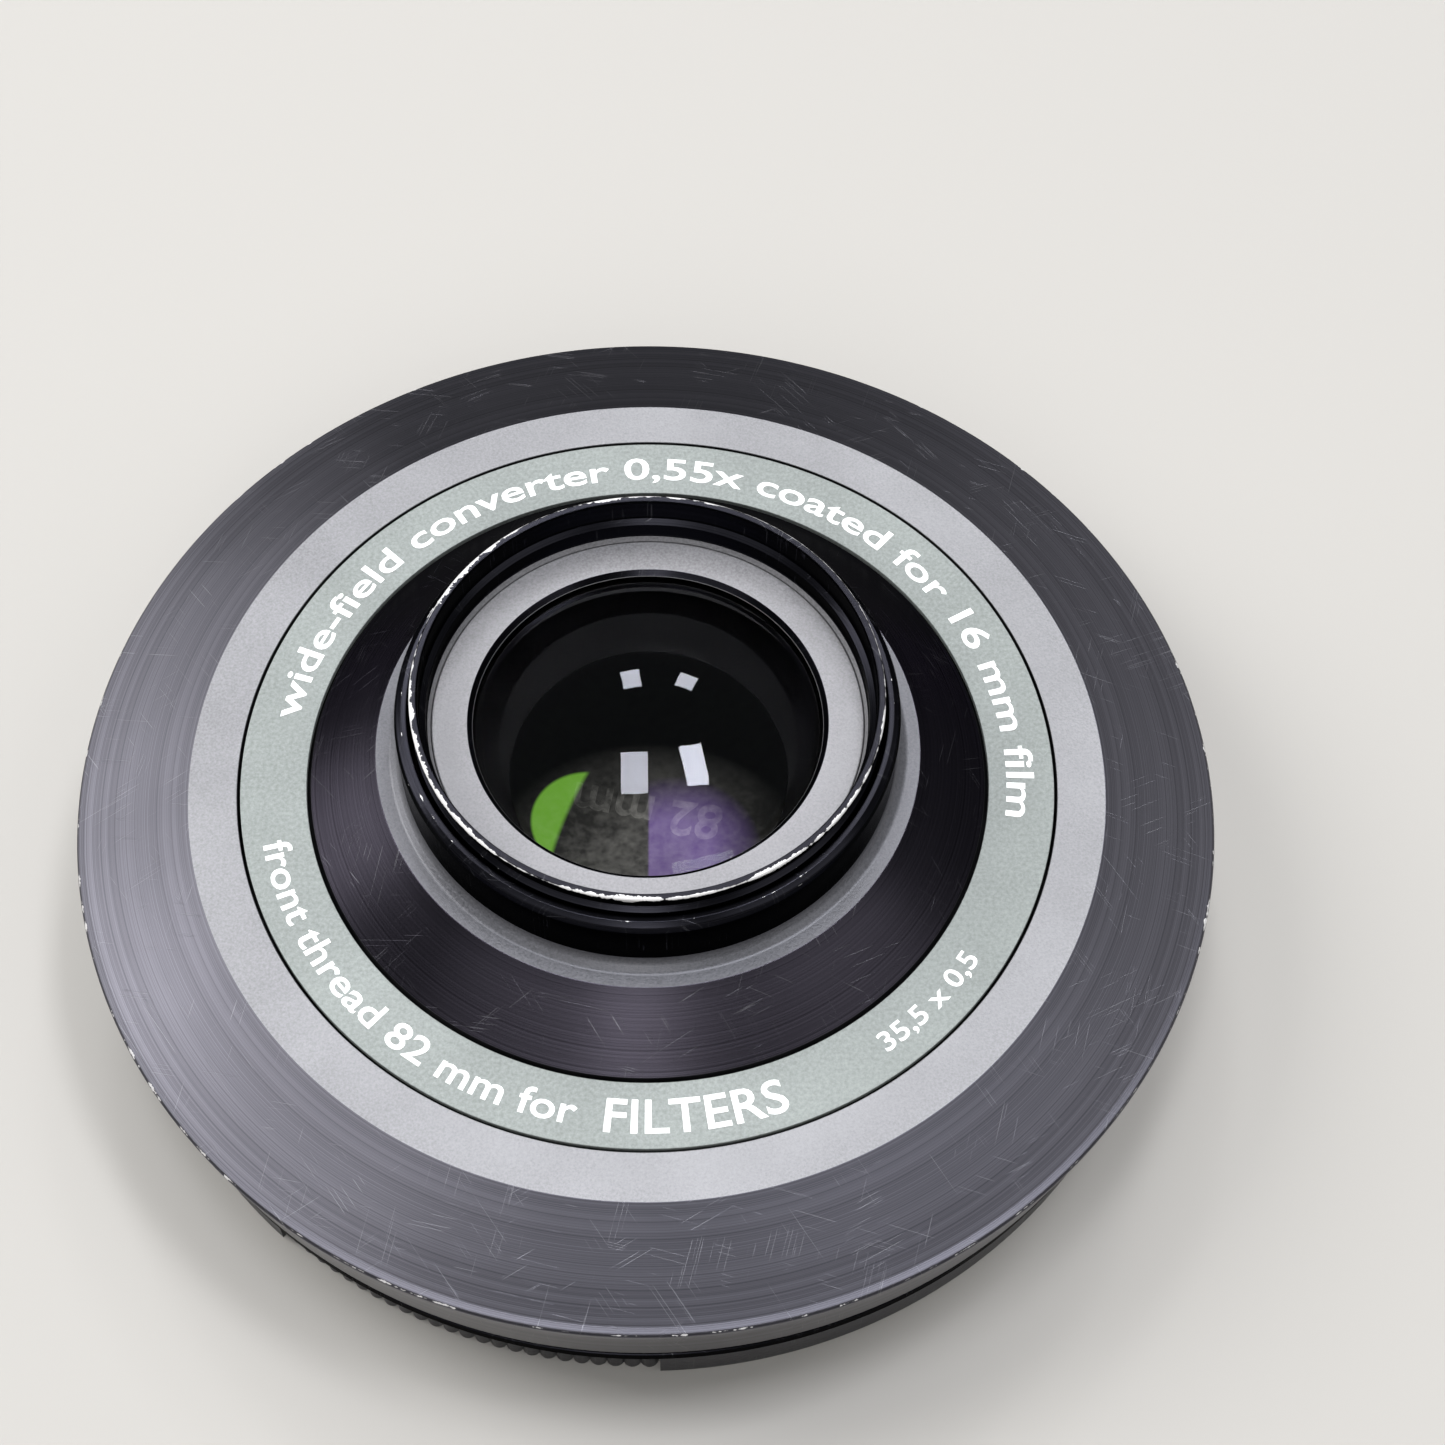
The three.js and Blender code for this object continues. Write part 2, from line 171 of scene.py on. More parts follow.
# ---- Materials ----------------------------------------------------------------------------------
class Nodes:
    """A small helper that adds and links shader nodes of one material."""

    def __init__(self, name=None, material=None):
        self.material = material or bpy.data.materials.new(name)
        self.material.use_nodes = True
        self.tree = self.material.node_tree
        self.shader = self.tree.nodes["Principled BSDF"]

    def add(self, kind, **settings):
        node = self.tree.nodes.new(kind)
        for key, value in settings.items():
            setattr(node, key, value)
        return node

    def link(self, source, target):
        self.tree.links.new(source, target)

    def set(self, **values):
        for key, value in values.items():
            self.shader.inputs[key.replace("_", " ")].default_value = value

    def math(self, operation, a, b=None, c=None, clamp=False):
        node = self.add("ShaderNodeMath", operation=operation, use_clamp=clamp)
        for socket, value in zip(node.inputs, (a, b, c)):
            if value is None:
                continue
            if isinstance(value, (int, float)):
                socket.default_value = value
            else:
                self.link(value, socket)
        return node.outputs[0]

    def coords(self):
        return self.add("ShaderNodeTexCoord").outputs["Object"]

    def split(self, coords):
        """The x, y and z sockets of object coordinates, in metres."""
        node = self.add("ShaderNodeSeparateXYZ")
        self.link(coords, node.inputs[0])
        return node.outputs

    def distance(self, a, b):
        """The length of the vector (a, b)."""
        return self.math("SQRT", self.math("ADD", self.math("MULTIPLY", a, a), self.math("MULTIPLY", b, b)))

    def vector(self, x=0.0, y=0.0, z=0.0):
        node = self.add("ShaderNodeCombineXYZ")
        for socket, value in zip(node.inputs, (x, y, z)):
            if isinstance(value, (int, float)):
                socket.default_value = value
            else:
                self.link(value, socket)
        return node.outputs[0]

    def noise(self, vector, scale, detail=2.0, roughness=0.5):
        node = self.add("ShaderNodeTexNoise")
        self.link(vector, node.inputs["Vector"])
        node.inputs["Scale"].default_value = scale
        node.inputs["Detail"].default_value = detail
        node.inputs["Roughness"].default_value = roughness
        return node.outputs["Fac"]

    def ramp(self, value, low, high, out_low=0.0, out_high=1.0):
        node = self.add("ShaderNodeMapRange")
        self.link(value, node.inputs["Value"])
        node.inputs["From Min"].default_value = low
        node.inputs["From Max"].default_value = high
        node.inputs["To Min"].default_value = out_low
        node.inputs["To Max"].default_value = out_high
        return node.outputs["Result"]

    def blend(self, factor, a, b):
        node = self.add("ShaderNodeMix", data_type="RGBA")
        self.link(factor, node.inputs["Factor"])
        for socket, value in ((node.inputs["A"], a), (node.inputs["B"], b)):
            if isinstance(value, (tuple, list)):
                socket.default_value = (*value[:3], 1)
            else:
                self.link(value, socket)
        return node.outputs["Result"]

    def bump(self, height, distance, strength=1.0, normal=None):
        node = self.add("ShaderNodeBump")
        node.inputs["Strength"].default_value = strength
        node.inputs["Distance"].default_value = distance
        self.link(height, node.inputs["Height"])
        if normal is not None:
            self.link(normal, node.inputs["Normal"])
        return node.outputs["Normal"]


def scratches(n, coords, turn, length, width, density):
    """A mask of short straight scratches in one direction; length and width are in millimetres."""
    mapping = n.add("ShaderNodeMapping", vector_type="TEXTURE")
    mapping.inputs["Rotation"].default_value = (0, 0, turn)
    mapping.inputs["Scale"].default_value = (length * MM, width * MM, 6 * MM)
    n.link(coords, mapping.inputs["Vector"])
    lines = n.noise(mapping.outputs[0], 0.7, 0.0)
    patches = n.noise(coords, 190 + 40 * turn, 1.0)
    return n.math("MULTIPLY", n.ramp(lines, 0.76 - density, 0.79 - density), n.ramp(patches, 0.55, 0.63))


def all_scratches(n, coords, length=4.0, width=0.05, density=0.013):
    mask = None
    for k, turn in enumerate((0.5, 1.3, 2.2, 2.9)):
        one = scratches(n, coords, turn, length * (1 + 0.4 * k), width, density)
        mask = one if mask is None else n.math("MAXIMUM", mask, one)
    return mask


def worn_edge(n, coords, radius, z, edge_r, edge_z, width, coverage):
    """A mask that is bright along one turned edge, broken up as a worn edge is; sizes in millimetres."""
    off_r = n.math("SUBTRACT", radius, edge_r * MM)
    off_z = n.math("SUBTRACT", z, edge_z * MM)
    away = n.distance(off_r, off_z)
    rough = n.noise(coords, 620, 4.0, 0.7)
    reach = n.ramp(rough, 0.75 - coverage * 0.5, 1.05 - coverage * 0.5, 0.0, width * MM)
    reach = n.math("MULTIPLY", reach, n.ramp(n.noise(coords, 110, 2.0), 0.4, 0.58, 0.25, 1.2))
    inside = n.math("SUBTRACT", reach, away)
    return n.ramp(inside, 0.0, 0.1 * width * MM)


WORN_METAL, WORN_METALLIC = (0.62, 0.61, 0.6), 0.3
ANODISED_METALLIC = 0.95


def turned_metal(name, color, roughness, aniso, wear, groove=0.25, edges=(), bright=1.7, rim=1.0):
    """Anodised aluminium off the lathe: fine rings, soft rubs, a few scratches and bright worn edges."""
    n = Nodes(name)
    coords = n.coords()
    x, y, z = n.split(coords)
    radius = n.distance(x, y)
    rings = n.noise(n.vector(radius, 0.0, 0.0), 8000, 3.0, 0.8)
    broad = n.noise(n.vector(radius, 0.0, z), 1300, 2.0)
    rubs = n.noise(coords, 55, 3.0)
    dark = tuple(c * 0.6 for c in color)
    light = tuple(min(1.0, c * bright + 0.004) for c in color)
    tone = n.math("ADD", n.math("MULTIPLY", rings, 0.8), n.math("MULTIPLY", broad, 0.2))
    base = n.blend(n.ramp(tone, 0.36, 0.62), dark, light)
    marks = all_scratches(n, coords)
    base = n.blend(n.math("MULTIPLY", marks, wear), base, (0.3, 0.3, 0.32))
    uneven = n.math("ADD", rubs, n.math("MULTIPLY", rings, 0.5))
    rough = n.ramp(uneven, 0.4, 1.1, roughness - 0.06, roughness + 0.08)
    worn = None
    for edge in edges:
        one = worn_edge(n, coords, radius, z, *edge)
        worn = one if worn is None else n.math("MAXIMUM", worn, one)
    if worn is not None:
        base = n.blend(worn, base, WORN_METAL)
        rough = n.math("ADD", rough, n.math("MULTIPLY", worn, 0.3))
        n.link(n.ramp(worn, 0.0, 1.0, ANODISED_METALLIC, WORN_METALLIC), n.shader.inputs["Metallic"])
    n.link(base, n.shader.inputs["Base Color"])
    n.link(rough, n.shader.inputs["Roughness"])
    n.set(Metallic=ANODISED_METALLIC, Anisotropic=aniso)
    n.shader.inputs["Specular Tint"].default_value = (rim, rim, rim, 1)
    tangent = n.add("ShaderNodeTangent", direction_type="RADIAL", axis="Z")
    n.link(tangent.outputs[0], n.shader.inputs["Tangent"])
    height = n.math("ADD", n.math("MULTIPLY", rings, groove), n.math("MULTIPLY", marks, -0.5))
    n.link(n.bump(height, 0.00002, 0.6), n.shader.inputs["Normal"])
    return n.material


def grainy_metal(name, color, roughness, grain=5200, metallic=0.5):
    """Bead-blasted, satin anodised metal with a fine sparkle."""
    n = Nodes(name)
    coords = n.coords()
    grains = n.noise(coords, grain, 2.0, 0.7)
    cloud = n.noise(coords, 90, 3.0)
    light = tuple(min(1.0, c * 1.35) for c in color)
    dark = tuple(c * 0.75 for c in color)
    base = n.blend(n.ramp(n.math("ADD", grains, n.math("MULTIPLY", cloud, 0.4)), 0.45, 0.95), dark, light)
    n.link(base, n.shader.inputs["Base Color"])
    n.link(n.ramp(grains, 0.3, 0.7, roughness - 0.08, roughness + 0.1), n.shader.inputs["Roughness"])
    n.set(Metallic=metallic)
    n.link(n.bump(grains, 0.00002, 0.8), n.shader.inputs["Normal"])
    return n.material


def plastic(name, color, roughness, grain=2600, depth=0.00004):
    """Moulded black plastic with a fine grain and pale scratches."""
    n = Nodes(name)
    coords = n.coords()
    grains = n.noise(coords, grain, 3.0, 0.6)
    cloud = n.noise(coords, 70, 2.0)
    light = tuple(min(1.0, c * 1.6 + 0.004) for c in color)
    base = n.blend(n.ramp(n.math("ADD", grains, cloud), 0.8, 1.2), color, light)
    marks = all_scratches(n, coords, 3.0, 0.06, 0.025)
    base = n.blend(n.math("MULTIPLY", marks, 0.35), base, (0.12, 0.12, 0.12))
    n.link(base, n.shader.inputs["Base Color"])
    n.link(n.ramp(cloud, 0.3, 0.7, roughness - 0.07, roughness + 0.07), n.shader.inputs["Roughness"])
    n.link(n.bump(grains, depth, 0.7), n.shader.inputs["Normal"])
    return n.material


def away_from(n, x, y, place):
    """Distance in metres, seen from above, from a point that is given in millimetres."""
    return n.distance(n.math("SUBTRACT", x, place[0] * MM), n.math("SUBTRACT", y, place[1] * MM))


def plastic_with_painted_light(name, color, strength):
    """The cap's inside: textured plastic with a painted, faintly glowing pool of the light that comes down
    through the coated glasses.
    """
    n = Nodes(name)
    coords = n.coords()
    x, y, _ = n.split(coords)
    grains = n.noise(coords, 1800, 3.0, 0.6)
    cloud = n.noise(coords, 160, 2.0)
    spots = n.math("ADD", grains, cloud)
    light = tuple(min(1.0, c * 1.5) for c in color)
    n.link(n.blend(n.ramp(spots, 0.8, 1.2), color, light), n.shader.inputs["Base Color"])
    n.link(n.ramp(cloud, 0.3, 0.7, 0.5, 0.68), n.shader.inputs["Roughness"])
    n.link(n.bump(grains, 0.0001, 0.7), n.shader.inputs["Normal"])
    # Painted light: a faint mottled glow in a pool a little off the axis, in place of light coming down
    # through the glasses.
    painted_light_pool = n.ramp(away_from(n, x, y, (0.0, -1.0)), 4.0 * MM, 10.5 * MM, 1.0, 0.0)
    mottled = n.ramp(spots, 0.75, 1.25, 0.25, 1.0)
    painted_light_color = n.blend(n.math("MULTIPLY", painted_light_pool, mottled), (0, 0, 0), (0.3, 0.295, 0.29))
    n.link(painted_light_color, n.shader.inputs["Emission Color"])
    n.shader.inputs["Emission Strength"].default_value = strength
    return n.material


GLASS_BODY, GLASS_IOR = (0.97, 0.97, 0.96), 1.5
CEMENTED_IOR = 1.001  # almost no refraction where two glasses are cemented


def glass(name, tint, ior=GLASS_IOR):
    """Polished, multi-coated glass: weak tinted reflections, a little dust in the roughness."""
    n = Nodes(name)
    coords = n.coords()
    dust = n.noise(coords, 1400, 3.0, 0.7)
    n.link(n.ramp(dust, 0.74, 0.78, 0.0, 0.2), n.shader.inputs["Roughness"])
    haze = n.noise(coords, 120, 2.0)
    dull = tuple(c * 0.97 for c in GLASS_BODY)
    n.link(n.blend(n.ramp(haze, 0.35, 0.65), GLASS_BODY, dull), n.shader.inputs["Base Color"])
    n.set(IOR=ior)
    n.shader.inputs["Transmission Weight"].default_value = 1.0
    n.shader.inputs["Specular Tint"].default_value = (*tint, 1)
    return n.material


def add_painted_reflections(material, strength):
    """Paints, as a glow, the violet patch and the green crescent that the coating of an inner glass face
    reflects: a painted reflection.
    """
    n = Nodes(material=material)
    coords = n.coords()
    x, y, _ = n.split(coords)
    cloud = n.noise(coords, 160, 2.0)
    # Painted reflection: the violet patch and the green crescent glow in fixed places on the glass face.
    patch = n.ramp(away_from(n, x, y, (1.5, -3.8)), 2.6 * MM, 5.8 * MM, 1.0, 0.0)
    violet = n.math("MULTIPLY", patch, n.ramp(x, -0.1 * MM, 0.05 * MM))
    violet = n.math("MULTIPLY", violet, n.ramp(cloud, 0.3, 0.7, 0.6, 1.0))
    disc = n.ramp(away_from(n, x, y, (-3.8, -1.5)), 3.65 * MM, 3.85 * MM, 1.0, 0.0)
    crescent = n.math("MULTIPLY", disc, n.ramp(away_from(n, x, y, (22.7, -11.8)), 29.9 * MM, 30.2 * MM))
    tinted = n.blend(violet, (0, 0, 0), (0.42, 0.24, 0.86))
    tinted = n.blend(crescent, tinted, (0.36, 0.95, 0.08))
    n.link(tinted, n.shader.inputs["Emission Color"])
    n.shader.inputs["Emission Strength"].default_value = strength
    return material


def plain(name, color, roughness, metallic=0.0, specular=0.5):
    n = Nodes(name)
    coords = n.coords()
    cloud = n.noise(coords, 300, 3.0)
    light = tuple(min(1.0, c * 1.4 + 0.003) for c in color)
    n.link(n.blend(n.ramp(cloud, 0.35, 0.65), color, light), n.shader.inputs["Base Color"])
    n.link(n.ramp(cloud, 0.3, 0.7, roughness - 0.06, roughness + 0.06), n.shader.inputs["Roughness"])
    n.set(Metallic=metallic, Specular_IOR_Level=specular)
    n.link(n.bump(cloud, 0.00001, 0.5), n.shader.inputs["Normal"])
    return n.material


# Worn edges: radius, height, width of the bare metal and how much of the edge is worn.
DISC_EDGE = (DISC_R - 0.1, 14.95, 0.3, 0.45)
OUTER_METAL = turned_metal(
    "outer_cone_metal", (0.08, 0.078, 0.091), 0.38, 0.85, 0.4, bright=1.8, edges=[DISC_EDGE]
)
LAND_METAL = grainy_metal("satin_land_metal", (0.215, 0.214, 0.222), 0.5)
CONE_METAL = turned_metal("gloss_cone_metal", (0.026, 0.0235, 0.031), 0.23, 0.88, 0.25, rim=0.12)
LIP_EDGES = [(18.4, LIP_Z, 0.2, 0.38), (18.82, 26.8, 0.1, 0.3)]
COLLAR_METAL = turned_metal(
    "collar_metal", (0.009, 0.009, 0.012), 0.22, 0.3, 0.15, groove=0.15, edges=LIP_EDGES, rim=0.25
)
RIM_EDGES = [
    (THREAD_R - 0.04, RIM_Z - 0.04, 0.42, 0.8),
    (THREAD_R, RIM_Z - 0.4, 0.13, 0.35),
    (17.1, RIM_Z - 0.05, 0.06, 0.3),
    (THREAD_R, LIP_Z - 0.1, 0.13, 0.35),
]
THREAD_METAL = turned_metal(
    "thread_metal", (0.009, 0.009, 0.012), 0.25, 0.3, 0.15, groove=0.15, edges=RIM_EDGES, rim=0.25
)
LEDGE_METAL = grainy_metal("ledge_metal", (0.1, 0.1, 0.11), 0.4)
RING_METAL = grainy_metal("retaining_ring_metal", (0.21, 0.207, 0.215), 0.5)
NAME_PAINT = grainy_metal("name_ring_paint", (0.215, 0.234, 0.223), 0.6, grain=3500, metallic=0.1)
LETTER_PAINT = plain("letter_paint", (0.9, 0.92, 0.88), 0.5)
BLACK_METAL = plain("blackened_metal", (0.004, 0.004, 0.0045), 0.65, 0.2, 0.12)
CAP_PLASTIC = plastic("cap_plastic", (0.010, 0.010, 0.012), 0.42)
CAP_INNER = plastic("cap_inner_plastic", (0.06, 0.06, 0.062), 0.6, grain=1800, depth=0.0001)
# The plate and the size mark glow with the painted pool of light.
PLATE_PLASTIC = plastic_with_painted_light("cap_plate_plastic", (0.025, 0.025, 0.026), 0.42)
MARK_PLASTIC = plastic_with_painted_light("size_mark_plastic", (0.05, 0.05, 0.051), 0.85)
STEEL = plain("spring_steel", (0.6, 0.6, 0.62), 0.25, 1.0)
RUBBER = plain("gasket_rubber", (0.01, 0.01, 0.01), 0.8)
DOME_GLASS = glass("dome_glass", (0.55, 0.55, 0.6))
CEMENT_GLASS = glass("cemented_face", (0.01, 0.01, 0.01), ior=CEMENTED_IOR)
FLINT_GLASS = glass("flint_glass", (0.002, 0.008, 0.001))
MIDDLE_GLASS = glass("middle_glass", (0.01, 0.04, 0.005))
# This inner glass face glows with the painted reflection of a violet patch and a green crescent.
PAINTED_REFLECTION_FACE = add_painted_reflections(glass("painted_reflection_face", (0.01, 0.04, 0.005)), 0.36)
FRONT_GLASS = glass("front_glass", (0.08, 0.04, 0.16))


# ---- Mesh tools ---------------------------------------------------------------------------------
def claim(piece, body, slot, *nodes):
    """Says what a piece rides on and the CAD nodes that it stands for; the slot argument is not used."""
    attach(piece, body)
    if nodes:
        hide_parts(*nodes)


def loose(name, mesh, materials=()):
    """An object that isn't a piece yet: a tool shape or the start of a piece."""
    for material in materials:
        mesh.materials.append(material)
    made = bpy.data.objects.new(name, mesh)
    bpy.context.collection.objects.link(made)
    return made


def finished(name, mesh, materials, body, slot, *nodes):
    piece = loose(name, mesh, materials)
    claim(piece, body, slot, *nodes)
    return piece


def rounded(points, default=0.12):
    """Rounds each corner of a closed outline. A point is (r, z), (r, z, fillet) or (r, z, fillet, zone)."""
    steps = 3
    result = []
    count = len(points)
    for i, point in enumerate(points):
        here = Vector(point[:2])
        fillet = point[2] if len(point) > 2 and point[2] is not None else default
        zone = point[3] if len(point) > 3 else None
        before = Vector(points[i - 1][:2]) - here
        after = Vector(points[(i + 1) % count][:2]) - here
        on_axis = here.x < 1e-6
        if fillet <= 0 or on_axis:
            result.append((here.x, here.y, zone))
            continue
        back, ahead = before.normalized(), after.normalized()
        half = math.acos(max(-1, min(1, back.dot(ahead)))) / 2
        if half > math.radians(88):
            result.append((here.x, here.y, zone))
            continue
        reach = min(fillet / math.tan(half), 0.42 * before.length, 0.42 * after.length)
        radius = reach * math.tan(half)
        hold = min(0.06, 0.1 * reach + 0.02)
        start, end = here + back * reach, here + ahead * reach
        centre = here + (back + ahead).normalized() * (radius / math.sin(half))
        first, last = start - centre, end - centre
        sweep = first.angle_signed(last)
        lead = start + back * hold
        result.append((lead.x, lead.y, None))
        for k in range(steps + 1):
            turn = Matrix.Rotation(-sweep * k / steps, 2)
            spot = centre + turn @ first
            result.append((spot.x, spot.y, None))
        tail = end + ahead * hold
        result.append((tail.x, tail.y, zone))
    return result


def lathe_mesh(name, outline, sides=ROUND):
    """A closed turned mesh; each outline point may name the zone (material index) that starts there."""
    bm = bmesh.new()
    rings = []
    for r, z, _ in outline:
        if r < 1e-6:
            rings.append([bm.verts.new((0, 0, z * MM))])
            continue
        ring = []
        for k in range(sides):
            a = 2 * math.pi * k / sides
            ring.append(bm.verts.new((r * MM * math.cos(a), r * MM * math.sin(a), z * MM)))
        rings.append(ring)
    zone = 0
    order = len(outline)
    for i in range(order):
        if outline[i][2] is not None:
            zone = outline[i][2]
        a_ring, b_ring = rings[i], rings[(i + 1) % order]
        if len(a_ring) == 1 and len(b_ring) == 1:
            continue
        for k in range(sides):
            m = (k + 1) % sides
            if len(a_ring) == 1:
                corners = (a_ring[0], b_ring[m], b_ring[k])
            elif len(b_ring) == 1:
                corners = (a_ring[k], a_ring[m], b_ring[0])
            else:
                corners = (a_ring[k], a_ring[m], b_ring[m], b_ring[k])
            face = bm.faces.new(corners)
            face.smooth = True
            face.material_index = zone
    bmesh.ops.recalc_face_normals(bm, faces=bm.faces)
    mesh = bpy.data.meshes.new(name)
    bm.to_mesh(mesh)
    bm.free()
    return mesh


def turned_piece(name, points, materials, slot, node, fillet=0.12, sides=ROUND):
    """A turned piece of the lens."""
    mesh = lathe_mesh(name, rounded(points, fillet), sides)
    return finished(name, mesh, materials, "lens", slot, node)


def curve_section(radius, height, steps=40):
    return [(radius * i / steps, height(radius * i / steps), 0) for i in range(steps + 1)]


def bulge(curve, r):
    return curve - math.sqrt(curve * curve - r * r)


def baked(piece):
    """Applies the modifiers of a piece."""
    graph = bpy.context.evaluated_depsgraph_get()
    mesh = bpy.data.meshes.new_from_object(piece.evaluated_get(graph))
    piece.modifiers.clear()
    piece.data = mesh


def combined(piece, others, operation):
    """Cuts closed shapes away from a piece (DIFFERENCE) or adds them to it (UNION)."""
    for other in others:
        modifier = piece.modifiers.new("shape", "BOOLEAN")
        modifier.operation = operation
        modifier.solver = "EXACT"
        modifier.object = other
        baked(piece)
        bpy.data.objects.remove(other, do_unlink=True)
    return piece


SHARP_DEGREES = 35


def crisp(piece):
    """Smooth shading with sharp edges kept and flat faces left flat."""
    for face in piece.data.polygons:
        face.use_smooth = True
    piece.data.set_sharp_from_angle(angle=math.radians(SHARP_DEGREES))
    modifier = piece.modifiers.new("normals", "WEIGHTED_NORMAL")
    modifier.keep_sharp = True
    baked(piece)
    return piece


def inset(outline, amount):
    """Moves each point of an anticlockwise outline inwards."""
    moved = []
    count = len(outline)
    for i, point in enumerate(outline):
        here = Vector(point)
        ahead = (Vector(outline[(i + 1) % count]) - here).normalized()
        back = (here - Vector(outline[i - 1])).normalized()
        normal = Vector((-ahead.y - back.y, ahead.x + back.x)).normalized()
        stretch = 1 / max(0.5, normal.dot(Vector((-ahead.y, ahead.x))))
        moved.append(here + normal * amount * stretch)
    return moved


def prism(outline, low, high, bevel=0.1, turn=0.0):
    """A closed prism with rounded top and bottom edges; sizes in millimetres, turned about the z axis."""
    steps = 3
    bm = bmesh.new()
    levels = []
    for k in range(steps + 1):
        a = math.pi / 2 * k / steps
        levels.append((low + bevel * (1 - math.sin(a)), bevel * (1 - math.cos(a))))
    levels = levels[::-1] + [(low + high - z, amount) for z, amount in levels]
    rings = []
    for z, amount in levels:
        shape = inset(outline, amount) if amount > 0 else [Vector(p) for p in outline]
        rings.append([bm.verts.new((p.x * MM, p.y * MM, z * MM)) for p in shape])
    count = len(outline)
    for lower, upper in zip(rings, rings[1:]):
        for k in range(count):
            m = (k + 1) % count
            bm.faces.new((lower[k], lower[m], upper[m], upper[k]))
    bm.faces.new(rings[0][::-1])
    bm.faces.new(rings[-1])
    bmesh.ops.recalc_face_normals(bm, faces=bm.faces)
    bmesh.ops.rotate(bm, verts=bm.verts, matrix=Matrix.Rotation(turn, 3, "Z"))
    mesh = bpy.data.meshes.new("prism")
    bm.to_mesh(mesh)
    bm.free()
    return mesh


def rounded_box(x_range, y_range, z_range, bevel=0.15, turn=0.0):
    (x0, x1), (y0, y1) = x_range, y_range
    c = bevel * 0.3
    outline = []
    for x, y, sx, sy in ((x0, y0, 1, 1), (x1, y0, -1, 1), (x1, y1, -1, -1), (x0, y1, 1, -1)):
        corner = [(x + sx * bevel, y), (x + sx * c, y + sy * c), (x, y + sy * bevel)]
        outline += corner[::-1] if sx * sy > 0 else corner
    return prism(outline, *z_range, bevel, turn)


def arc_wall(inner, outer, half_degrees, steps=24):
    half = math.radians(half_degrees)
    ahead = [(outer * math.cos(a), outer * math.sin(a)) for a in spread(-half, half, steps)]
    back = [(inner * math.cos(a), inner * math.sin(a)) for a in spread(half, -half, steps)]
    return ahead + back


def spread(first, last, steps):
    return [first + (last - first) * k / steps for k in range(steps + 1)]


# ---- Lens metal ---------------------------------------------------------------------------------
def make_shell():
    z = LAND_Z
    points = [
        (42.3, SHELL_LOW, 0.1, 0),
        (43.25, SHELL_LOW, 0.3),
        (44.0, 12.2, 3.0),
        (44.42, 14.2, 1.0),
        (DISC_R, 14.85, 0.12),
        (DISC_R - 0.15, 15.02, 0.1),
        (43.85, 15.12, 0.1, 0),
        (35.6, z, 0.05, 1),
        (NAME_R + 0.25, z, 0.06, 2),
        (NAME_R + 0.25, 15.3, 0.1, 2),
        (24.0, 15.3, 0.1, 2),
        (24.0, 13.7, 0.1, 2),
        (32.2, 13.7, 0.1, 2),
        (33.2, 14.6, 0.1, 2),
        (38.8, 14.6, 0.1, 2),
        (38.8, 10.9, 0.1, 2),
        (39.9, 10.9, 0.1, 2),
        (39.9, 9.2, 0.1, 2),
        (42.3, 9.2, 0.1, 2),
    ]
    turned_piece("shell_body", points, [OUTER_METAL, LAND_METAL, BLACK_METAL], "anodised_shell", "main_shell")


def make_name_ring():
    top, low = LAND_Z, LAND_Z - 0.55
    points = [(26.5, low, 0.05, 0), (NAME_R, low, 0.05), (NAME_R, top, 0.06), (26.5, top, 0.06)]
    turned_piece("name_plate", points, [NAME_PAINT], "name_ring", "name_ring")


def make_barrel():
    points = [
        (23.7, 13.7, 0.1, 2),
        (23.7, 15.6, 0.1, 2),
        (BARREL_R, 15.6, 0.1, 2),
        (BARREL_R, 16.6, 0.1, 2),
        (26.2, 16.6, 0.0, 2),
        (26.2, LAND_Z, 0.06, 0),
        (20.85, 21.4, 0.08, 1),
        (19.75, 21.45, 0.5, 1),
        (18.95, 22.0, 0.8, 3),
        (18.95, 26.35, 0.15, 3),
        (18.8, 26.85, 0.2, 3),
        (18.4, LIP_Z, 0.12, 3),
        (17.95, LIP_Z, 0.08, 2),
        (17.95, 20.2, 0.1, 2),
        (16.7, 20.2, 0.1, 2),
        (16.7, 13.7, 0.1, 2),
    ]
    metals = [CONE_METAL, LEDGE_METAL, BLACK_METAL, COLLAR_METAL]
    turned_piece("rear_barrel", points, metals, "gloss_barrel", "coupling_barrel")


def make_thread_ring():
    points = [
        (RING_R + 0.06, 20.5, 0.03, 0),
        (THREAD_R, 20.5, 0.1),
        (THREAD_R, LIP_Z - 0.1, 0.06),
        (17.25, LIP_Z + 0.25, 0.1),
        (17.25, RIM_Z - 0.8, 0.1),
        (THREAD_R, RIM_Z - 0.4, 0.06),
        (THREAD_R, RIM_Z - 0.1, 0.06),
        (THREAD_R - 0.1, RIM_Z, 0.05),
        (17.15, RIM_Z, 0.06),
        (17.05, RIM_Z - 0.2, 0.05),
        (17.05, 26.85, 0.05),
        (16.63, 26.5, 0.05),
        (16.63, RING_Z + 0.45, 0.3, 1),
        (RING_R + 0.06, RING_Z - 0.02, 0.03),
    ]
    turned_piece("thread_collar", points, [THREAD_METAL, RING_METAL], "gloss_barrel", "coupling_thread_ring")


def make_retaining_ring():
    points = [
        (13.23, RING_Z - 0.42, 0.03, 1),
        (13.6, RING_Z, 0.04, 0),
        (RING_R, RING_Z, 0.1, 2),
        (RING_R, 21.5, 0.1, 2),
        (15.5, 21.5, 0.1, 2),
        (15.5, 22.9, 0.1, 2),
    ]
    metals = [RING_METAL, COLLAR_METAL, BLACK_METAL]
    turned_piece("glass_retainer", points, metals, "satin_ring", "rear_retaining_ring")


# ---- Glass --------------------------------------------------------------------------------------
GLASS_SIDES = 192


def glass_piece(name, lower, upper, materials, node):
    """A glass with its edge ground flat; the lower face takes the last material."""
    last = len(materials) - 1
    outline = [(r, z, last) for r, z, _ in curve_section(GLASS_R, lower)]
    outline += curve_section(GLASS_R, upper)[::-1]
    return finished(name, lathe_mesh(name, outline, GLASS_SIDES), materials, "lens", "coated_glass", node)


